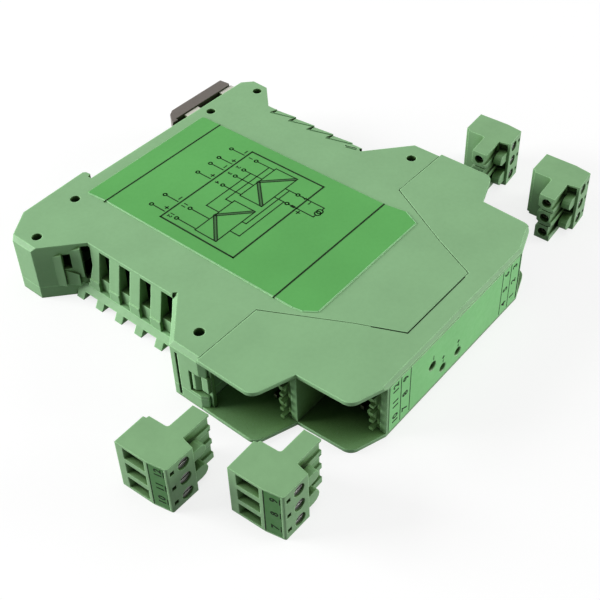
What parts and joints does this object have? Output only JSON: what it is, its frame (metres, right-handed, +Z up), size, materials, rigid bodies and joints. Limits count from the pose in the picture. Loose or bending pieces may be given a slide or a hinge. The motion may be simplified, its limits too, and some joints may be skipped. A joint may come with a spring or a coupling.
{
  "type": "signal isolator",
  "caption": "Slim rail-mounted signal isolator lying on its broad side, vented green housing with labelled front, pulled-off plug-in screw terminals beside it.",
  "frame": {"origin": "centre of the housing's broad underside, half way along its height and its depth", "axes": "+Z up from the table through the thin direction of the module, +X along the housing height toward the foot latch end, +Y from the front face toward the mounting rail"},
  "size_m": [0.1525, 0.1158, 0.0177],
  "materials": {
    "housing_green": "fine moulded texture",
    "label_front": "printed film, semi-gloss",
    "label_side": "printed plate, semi-gloss",
    "foot_dark": "moulded",
    "guide_white": "moulded",
    "spring_steel": "bright strip",
    "board_green": "solder mask",
    "lens_clear": "clear lens",
    "trimmer_blue": "moulded",
    "brass": "turned",
    "ferrite": "sintered",
    "coil_former": "wound and taped",
    "can_dark": "shrink sleeve",
    "chip_black": "moulded",
    "header_green": "moulded",
    "pin_tin": "tinned",
    "plug_green": "moulded",
    "strip_green": "printed strip",
    "screw_steel": "zinc plated"
  },
  "bodies": {
    "housing": {"rear_shell": "housing_green", "rear_cover": "housing_green", "shell_pins": "housing_green", "hood": "housing_green", "front_label": "label_front", "side_label": "label_side", "foot_guide": "guide_white", "foot_spring": "spring_steel", "circuit_board": "board_green", "status_led": "lens_clear", "trimmer_body_a": "trimmer_blue", "trimmer_body_b": "trimmer_blue", "transformer_core": "ferrite", "transformer_coil": "coil_former", "capacitors": "can_dark", "chips": "chip_black", "header_front_left": "header_green", "header_front_right": "header_green", "header_rear_left": "header_green", "header_rear_right": "header_green", "header_pins": "pin_tin", "plug_body_front_left": "plug_green", "plug_body_rear_left": "plug_green", "plug_body_front_right": "plug_green", "plug_body_rear_right": "plug_green", "plug_strips": "strip_green", "plug_screws": "screw_steel", "plug_cages": "screw_steel", "plug_contacts": "pin_tin"},
    "foot": {"foot_latch": "foot_dark"},
    "adjuster_a": {"trimmer_screw_a": "brass"},
    "adjuster_b": {"trimmer_screw_b": "brass"}
  },
  "joints": [
    {"name": "foot_slide", "type": "slide", "parent": "housing", "child": "foot", "axis": [1, 0, 0], "range_m": [0, 0.0032], "stiffness_N_per_m": 1200, "springref_m": -0.001, "deforming": ["foot_spring"]},
    {"name": "adjuster_a_turn", "type": "hinge", "parent": "housing", "child": "adjuster_a", "pos_m": [-0.0062, -0.05425, 0.0041], "axis": [0, -1, 0], "continuous": true},
    {"name": "adjuster_b_turn", "type": "hinge", "parent": "housing", "child": "adjuster_b", "pos_m": [0.0003, -0.05425, 0.0042], "axis": [0, -1, 0], "continuous": true}
  ]
}
